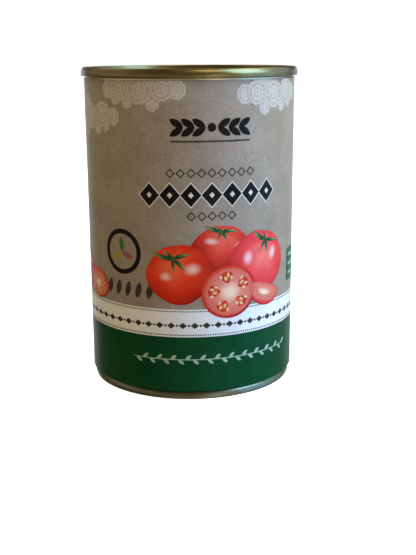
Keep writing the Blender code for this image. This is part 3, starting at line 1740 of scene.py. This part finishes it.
@dataclass(frozen=True)
class BandTrim:
    """The dotted edges and the chain round the white band, and the vine on the green one."""

    radius: float
    lap_radius: float
    # Marks turned further left than this from the front, in radians, lie on the lap
    lap_edge: float = PaperSleeve.lap_end - 1.5 * math.pi
    green_top: float = KraftLabel.green_top
    white_top: float = KraftLabel.white_top
    dot_radius: float = 0.00027
    dots: int = 272
    inset: float = 0.0007
    links: int = 58
    link_half: Place = (0.0014, 0.0011)
    bead: float = 0.0004
    chain_drop: float = 0.0008  # below the middle of the white band
    vine_level: float = 0.0145
    stem_middle: float = 0.0090
    stem_half: Place = (0.0300, 0.00017)
    leaf_count: int = 24
    first_leaf: float = -0.0198
    leaf_pitch: float = 0.0025
    leaf: float = 0.0026
    leaf_lean: float = 38.0

    def all_round(self, name: str, ink: Ink, marks: Sequence[Mark]) -> None:
        """Prints marks that run right round the tin, over the lap too.

        Args:
            name: The name of the piece.
            ink: Their ink.
            marks: Each mark's turn from the front in radians, level, half sizes and corners.
        """
        sleeve = InkSheet(name, self.radius, 1, [ink])
        lap = InkSheet(f"{name}_on_lap", self.lap_radius, 1, [ink])
        for turn, level, size, sides in marks:
            sheet = sleeve if turn > self.lap_edge else lap
            sheet.shape(oval, (turn * sheet.radius, level), size, sides=sides)
        sleeve.build()
        lap.build()

    def dotted_edges(self) -> None:
        """Prints a row of small dots just inside each edge of the white band."""
        size = (self.dot_radius, self.dot_radius)
        turns = [math.tau * (index + 0.5) / self.dots - math.pi for index in range(self.dots)]
        levels = (self.white_top - self.inset, self.green_top + self.inset)
        marks = [(turn, level, size, 8) for level in levels for turn in turns]
        self.all_round("dotted_edges", Ink.BLACK, marks)

    def chain(self) -> None:
        """Prints a chain of lozenges and dots along the middle of the white band."""
        level = (self.green_top + self.white_top) / 2.0 - self.chain_drop
        pitch = math.tau / self.links
        marks = []
        for index in range(self.links):
            turn = (index + 0.25) * pitch - math.pi
            marks.append((turn, level, self.link_half, 4))
            marks.append((turn + pitch / 2.0, level, (self.bead, self.bead), 12))
        self.all_round("band_chain", Ink.GREY, marks)

    def vine(self) -> None:
        """Prints a pale vine of small leaves along the green band."""
        sheet = InkSheet("band_vine", self.radius, 1, [Ink.SAGE])
        sheet.shape(slab, (self.stem_middle, self.vine_level), self.stem_half, sides=40)
        size = (self.leaf, self.leaf)
        for index in range(self.leaf_count):
            lean = self.leaf_lean if index % 2 else -self.leaf_lean
            foot = (self.first_leaf + index * self.leaf_pitch, self.vine_level)
            sheet.shape(blade(bend=0.0, width=0.44), foot, size, lean, sides=16)
        sheet.build()

    def build(self) -> None:
        """Prints the trim."""
        self.dotted_edges()
        self.chain()
        self.vine()


@dataclass(frozen=True)
class InfoPanel:
    """A cream panel with fine rules, on the hidden part of the label."""

    name: str
    radius: float
    place: Place
    half: Place
    rules: int
    rule_share: float = 0.82  # a rule's length, against the panel's width
    short_share: float = 0.5  # the same for every fourth rule, from the first
    rule_half: float = 0.00028

    def build(self) -> None:
        """Prints the panel and its rules."""
        panel = InkSheet(self.name, self.radius, 1, [Ink.CREAM])
        panel.shape(slab, self.place, self.half, sides=64)
        panel.build()
        lines = InkSheet(f"{self.name}_rules", self.radius, 2, [Ink.GREY])
        pitch = 2.0 * self.half[1] / (self.rules + 1.0)
        for index in range(self.rules):
            level = self.place[1] + self.half[1] - (index + 1.0) * pitch
            reach = self.half[0] * (self.rule_share if index % 4 else self.short_share)
            middle = self.place[0] - self.half[0] * self.rule_share + reach
            lines.shape(slab, (middle, level), (reach, self.rule_half), sides=24)
        lines.build()


@dataclass(frozen=True)
class SoftLight:
    """A soft rectangular lamp that faces the tin."""

    name: str
    azimuth: float  # degrees to the right of the front
    elevation: float
    radiance: float
    colour: str
    size: Place = (0.5, 0.5)
    distance: float = 0.8
    target: float = 0.055
    lights: bool = True  # whether it lights matt surfaces
    shines: bool = True  # whether it shows in glossy ones

    def build(self) -> Object:
        """Sets up the lamp.

        Returns:
            The lamp.
        """
        data = bpy.data.lights.new(self.name, "AREA")
        data.shape = "RECTANGLE"
        data.size, data.size_y = self.size
        data.energy = math.pi * self.size[0] * self.size[1] * self.radiance
        data.color = linear(self.colour)[:3]
        lamp = set_down(self.name, data)
        turn, rise = math.radians(self.azimuth), math.radians(self.elevation)
        away = Vector(
            (math.sin(turn) * math.cos(rise), -math.cos(turn) * math.cos(rise), math.sin(rise))
        )
        lamp.location = Vector((0.0, 0.0, self.target)) + away * self.distance
        lamp.rotation_euler = (-away).to_track_quat("-Z", "Y").to_euler()
        lamp.visible_camera = False
        lamp.visible_diffuse = self.lights
        lamp.visible_glossy = self.shines
        return lamp


# First the lamps that light the paper, then those that show only in the metal's shine.
# Their colours and strengths follow the shading of the paper and the streaks on the seams
LAMPS = (
    SoftLight("window_upper", 90.0, 50.0, 7.4, "#c8ecff", shines=False),
    SoftLight("window_lower", 75.0, -8.0, 2.25, "#8fc8ff", (0.62, 0.60)),
    SoftLight("window_side", 110.0, -8.0, 1.0, "#aadaff", (0.40, 0.55)),
    SoftLight("room_right", 150.0, -8.0, 0.68, "#c5e0ff", (0.40, 0.55)),
    SoftLight("room_left", -154.0, -8.0, 0.74, "#d3e8ff", (0.40, 0.55)),
    SoftLight("ceiling_left", -120.0, 50.0, 2.6, "#fafff2", shines=False),
    SoftLight("ceiling_front", 42.0, 50.0, 2.75, "#ffe7c6", shines=False),
    SoftLight("doorway", 28.0, -8.0, 1.5, "#fff0dc", (0.16, 0.55)),
    SoftLight("shelf_left", -75.0, -45.0, 0.9, "#fff2dc", (0.60, 0.25), shines=False),
    SoftLight("shelf_right", 45.0, -45.0, 1.1, "#cfe6ff", (0.60, 0.25)),
    SoftLight("window_near", 32.0, -5.0, 0.68, "#409cff", (0.05, 0.25), 0.062, shines=False),
    SoftLight("window_pane", 67.0, 35.0, 10.0, "#a2d4ff", (0.51, 0.57), lights=False),
    SoftLight("window_edge", 108.0, 30.0, 1.15, "#b4d6ff", (0.70, 0.60), lights=False),
    SoftLight("lamp_glow", 22.0, 47.0, 3.0, "#ffe8c4", (0.30, 0.28), lights=False),
    SoftLight("hall_left", -98.0, 22.0, 0.30, "#fff4e0", (0.90, 0.60), lights=False),
    SoftLight("shelf_front", -58.0, -2.0, 0.42, "#fff0dc", (1.70, 0.20), lights=False),
    SoftLight("shelf_low", -4.0, -32.0, 0.34, "#fff0e6", (0.80, 0.34), lights=False),
    SoftLight("doorway_glow", 27.0, -13.0, 0.42, "#e8fff8", (0.66, 0.42), lights=False),
    SoftLight("ceiling_rear", 180.0, 70.0, 1.2, "#fff8ec", (1.60, 0.60), lights=False),
)


@dataclass(frozen=True)
class Studio:
    """Camera, lamps, floor and surroundings."""

    distance: float = 0.32753
    height: float = 0.11587
    pitch: float = 0.2455  # radians below the horizon
    yaw: float = 0.0188  # radians to the right of the tin's axis
    roll: float = -0.0054
    focal_pixels: float = 911.88
    long_side: float = 555.0
    sensor: float = 36.0
    clip: tuple[float, float] = (0.01, 20.0)
    floor_reach: float = 3.0
    # Colour and strength of the surroundings, for matt surfaces, for shiny ones and as seen
    glows: tuple[tuple[str, float], ...] = (("#ffe9bc", 0.265), ("#ffe9c4", 0.20), ("#ffffff", 1.0))

    def camera(self) -> None:
        """Sets up the camera as the photograph was taken."""
        data = bpy.data.cameras.new("camera")
        data.sensor_width = self.sensor
        data.lens = self.focal_pixels * self.sensor / self.long_side
        data.clip_start, data.clip_end = self.clip
        camera = set_down("camera", data)
        forward = Vector(
            (
                math.sin(self.yaw) * math.cos(self.pitch),
                math.cos(self.yaw) * math.cos(self.pitch),
                -math.sin(self.pitch),
            )
        )
        level_right = Vector((math.cos(self.yaw), -math.sin(self.yaw), 0.0))
        level_up = level_right.cross(forward)
        right = math.cos(self.roll) * level_right + math.sin(self.roll) * level_up
        up = math.cos(self.roll) * level_up - math.sin(self.roll) * level_right
        turn = Matrix((right, up, -forward)).transposed().to_4x4()
        camera.matrix_world = Matrix.Translation((0.0, -self.distance, self.height)) @ turn
        bpy.context.scene.camera = camera

    def floor(self) -> None:
        """Lays the plain pale floor, which leaves the tin's own shading alone."""
        mesh = bmesh.new()
        bmesh.ops.create_circle(mesh, cap_ends=True, radius=self.floor_reach, segments=64)
        data = bpy.data.meshes.new("floor")
        mesh.to_mesh(data)
        mesh.free()
        material = bpy.data.materials.new("white_floor")
        tree = bare_tree(material)
        matt = add_node(tree, "ShaderNodeBsdfDiffuse", {"Color": linear("#ffffff")})
        glow = add_node(tree, "ShaderNodeEmission", {"Color": linear("#ffffff"), "Strength": 1.0})
        both = add_node(tree, "ShaderNodeAddShader", links={0: matt.outputs[0], 1: glow.outputs[0]})
        add_node(tree, "ShaderNodeOutputMaterial", links={"Surface": both.outputs[0]})
        data.materials.append(material)
        floor = set_down("floor", data)
        floor.visible_diffuse = False
        floor.visible_glossy = False
        floor.visible_shadow = False

    def surroundings(self) -> None:
        """Makes the background white to the camera and dim and warm to the tin."""
        world = bpy.data.worlds.new("surroundings")
        tree = bare_tree(world)
        path = add_node(tree, "ShaderNodeLightPath").outputs
        matt, mirrored, white = (
            add_node(tree, "ShaderNodeBackground", {"Color": linear(code), "Strength": strength})
            for code, strength in self.glows
        )
        dim = add_node(
            tree,
            "ShaderNodeMixShader",
            links={0: path["Is Glossy Ray"], 1: matt.outputs[0], 2: mirrored.outputs[0]},
        )
        both = add_node(
            tree,
            "ShaderNodeMixShader",
            links={0: path["Is Camera Ray"], 1: dim.outputs[0], 2: white.outputs[0]},
        )
        add_node(tree, "ShaderNodeOutputWorld", links={"Surface": both.outputs[0]})
        bpy.context.scene.world = world

    def build(self) -> None:
        """Sets up the whole studio."""
        bpy.context.scene.view_settings.view_transform = "Standard"
        self.camera()
        self.floor()
        self.surroundings()
        for lamp in LAMPS:
            lamp.build()


def build_tin(sizes: TinSizes) -> None:
    """Makes every piece of the tin.

    Args:
        sizes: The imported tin's sizes.
    """
    SeamedEnd(
        name="top_end_plate",
        node="top_end",
        slot="gold_lacquer",
        metal=Metal.GOLD_LACQUER,
        seam_radius=sizes.top_seam_radius,
        skirt_radius=sizes.body_radius,
        crest_level=sizes.height,
        turned_over=False,
        depth=sizes.end_depth,
        seam_height=TOP_SEAM_HEIGHT,
        side_start=38.0,
    ).build()
    SeamedEnd(
        name="bottom_end_plate",
        node="bottom_end",
        slot="bare_end",
        metal=Metal.TINPLATE,
        seam_radius=sizes.bottom_seam_radius,
        skirt_radius=sizes.bottom_seam_radius - SeamedEnd.seam_width,
        crest_level=0.0,
        turned_over=True,
        depth=sizes.end_depth,
        seam_height=BOTTOM_SEAM_HEIGHT,
        side_start=12.0,
    ).build()
    SteelWall(sizes, BOTTOM_SEAM_HEIGHT).build()
    PaperSleeve(sizes).build()
    radius = sizes.label_radius
    TomatoPicture(radius, FRONT_TOMATOES).build()
    TomatoPicture(radius, SIDE_TOMATOES).build()
    LaceFringe(radius, sizes.label_top - PaperSleeve.edge_round).build()
    TitleOrnament(radius).build()
    SmallMarks(radius).build()
    BandTrim(radius, sizes.lap_radius).build()
    InfoPanel("right_panel", radius, (0.0820, 0.0620), (0.0170, 0.0250), 12).build()
    InfoPanel("left_panel", radius, (-0.0860, 0.0600), (0.0150, 0.0190), 9).build()


def main() -> None:
    """Builds the tin and the studio round it, from the imported tin's sizes."""
    logging.basicConfig(level=logging.INFO, format="%(message)s")
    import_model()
    Studio().build()
    build_tin(TinSizes.from_frame())


if __name__ == "__main__":
    main()
